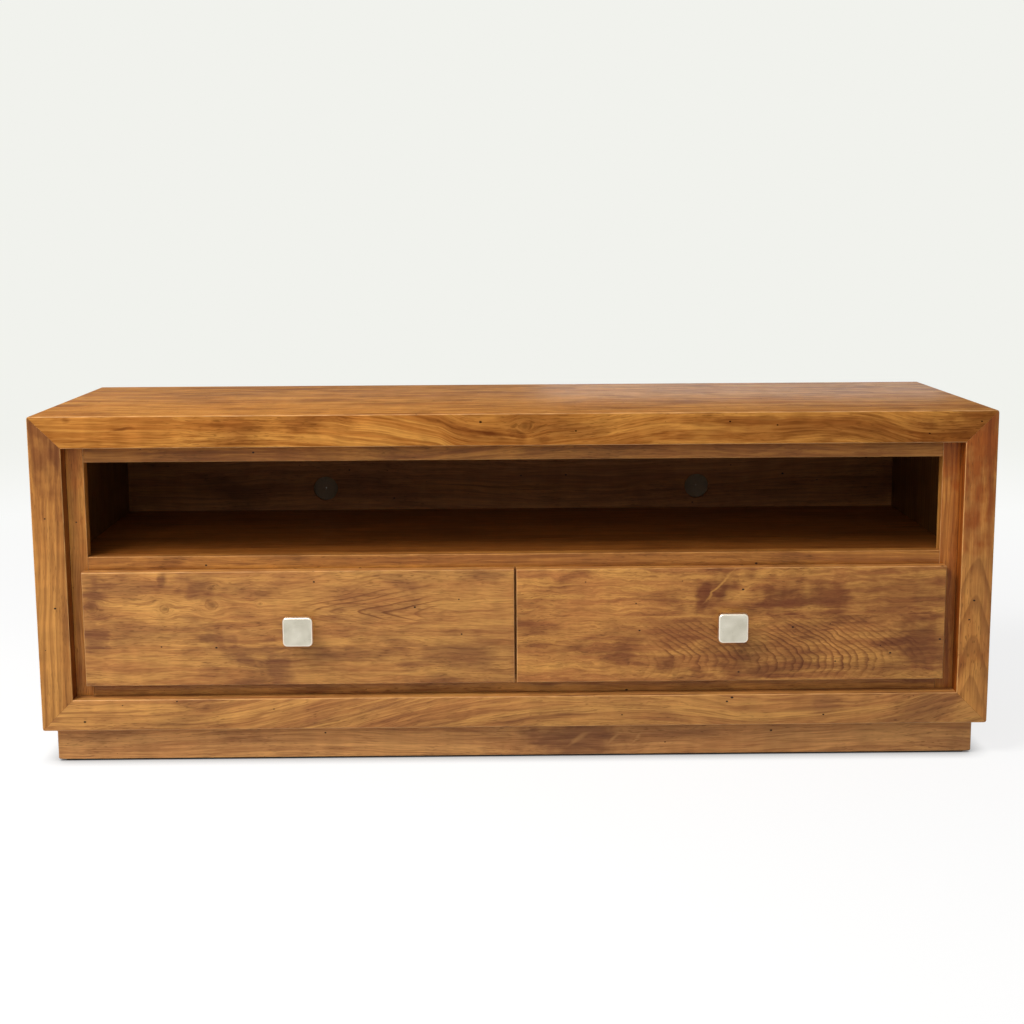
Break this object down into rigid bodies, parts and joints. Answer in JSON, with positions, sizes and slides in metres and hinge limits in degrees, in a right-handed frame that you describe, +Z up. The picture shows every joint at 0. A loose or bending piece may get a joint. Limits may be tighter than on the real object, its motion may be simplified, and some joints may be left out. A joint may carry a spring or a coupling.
{
  "type": "entertainment center",
  "caption": "Low wooden entertainment center: mitred plank case on a recessed plinth, open bay with cable holes over wide drawers with square metal knobs.",
  "frame": {"origin": "on the floor, in the middle of the whole footprint from the knob faces to the back edges of the case", "axes": "+X to the right along the width, +Y from the front to the back, +Z up"},
  "size_m": [1.5, 0.522, 0.555],
  "materials": {
    "stained_wood": "honey-brown stain under satin lacquer",
    "front_wood": "honey-brown stain under satin lacquer, figured boards",
    "plinth_wood": "honey-brown stain under satin lacquer, a little darker",
    "plain_wood": "clear lacquer",
    "plywood": "clear lacquer",
    "nickel": "satin nickel",
    "zinc": "bright zinc plate",
    "felt": "dark felt"
  },
  "bodies": {
    "cabinet": {"top_panel": "stained_wood", "bottom_panel": "stained_wood", "left_panel": "stained_wood", "right_panel": "stained_wood", "left_stile": "stained_wood", "right_stile": "stained_wood", "top_rail": "stained_wood", "middle_rail": "stained_wood", "bottom_rail": "stained_wood", "mullion": "stained_wood", "shelf": "stained_wood", "partition": "stained_wood", "left_packer": "stained_wood", "right_packer": "stained_wood", "back_panel": "stained_wood", "plinth_front": "plinth_wood", "plinth_back": "plinth_wood", "plinth_left": "plinth_wood", "plinth_right": "plinth_wood", "top_left_spline": "plain_wood", "top_right_spline": "plain_wood", "bottom_left_spline": "plain_wood", "bottom_right_spline": "plain_wood", "plinth_brace": "plain_wood", "plinth_block_front_left": "plain_wood", "plinth_block_front_right": "plain_wood", "plinth_block_back_left": "plain_wood", "plinth_block_back_right": "plain_wood", "front_felt": "felt", "back_felt": "felt", "left_outer_slide_cabinet": "zinc", "left_inner_slide_cabinet": "zinc", "right_outer_slide_cabinet": "zinc", "right_inner_slide_cabinet": "zinc"},
    "left_drawer": {"left_drawer_front": "front_wood", "left_box_front": "plain_wood", "left_box_back": "plain_wood", "left_box_outer_side": "plain_wood", "left_box_inner_side": "plain_wood", "left_box_bottom": "plywood", "left_knob": "nickel", "left_knob_screw": "zinc", "left_outer_slide_drawer": "zinc", "left_inner_slide_drawer": "zinc"},
    "left_carriage": {"left_outer_slide_middle": "zinc", "left_inner_slide_middle": "zinc"},
    "right_drawer": {"right_drawer_front": "front_wood", "right_box_front": "plain_wood", "right_box_back": "plain_wood", "right_box_outer_side": "plain_wood", "right_box_inner_side": "plain_wood", "right_box_bottom": "plywood", "right_knob": "nickel", "right_knob_screw": "zinc", "right_outer_slide_drawer": "zinc", "right_inner_slide_drawer": "zinc"},
    "right_carriage": {"right_outer_slide_middle": "zinc", "right_inner_slide_middle": "zinc"}
  },
  "joints": [
    {"name": "left_drawer_slide", "type": "slide", "parent": "cabinet", "child": "left_drawer", "axis": [0, -1, 0], "range_m": [0, 0.37]},
    {"name": "left_carriage_slide", "type": "slide", "parent": "cabinet", "child": "left_carriage", "axis": [0, -1, 0], "range_m": [0, 0.185]},
    {"name": "right_drawer_slide", "type": "slide", "parent": "cabinet", "child": "right_drawer", "axis": [0, -1, 0], "range_m": [0, 0.37]},
    {"name": "right_carriage_slide", "type": "slide", "parent": "cabinet", "child": "right_carriage", "axis": [0, -1, 0], "range_m": [0, 0.185]}
  ],
  "couplings": [
    {"joint": "left_carriage_slide", "follows": "left_drawer_slide", "ratio": 0.5},
    {"joint": "right_carriage_slide", "follows": "right_drawer_slide", "ratio": 0.5}
  ]
}
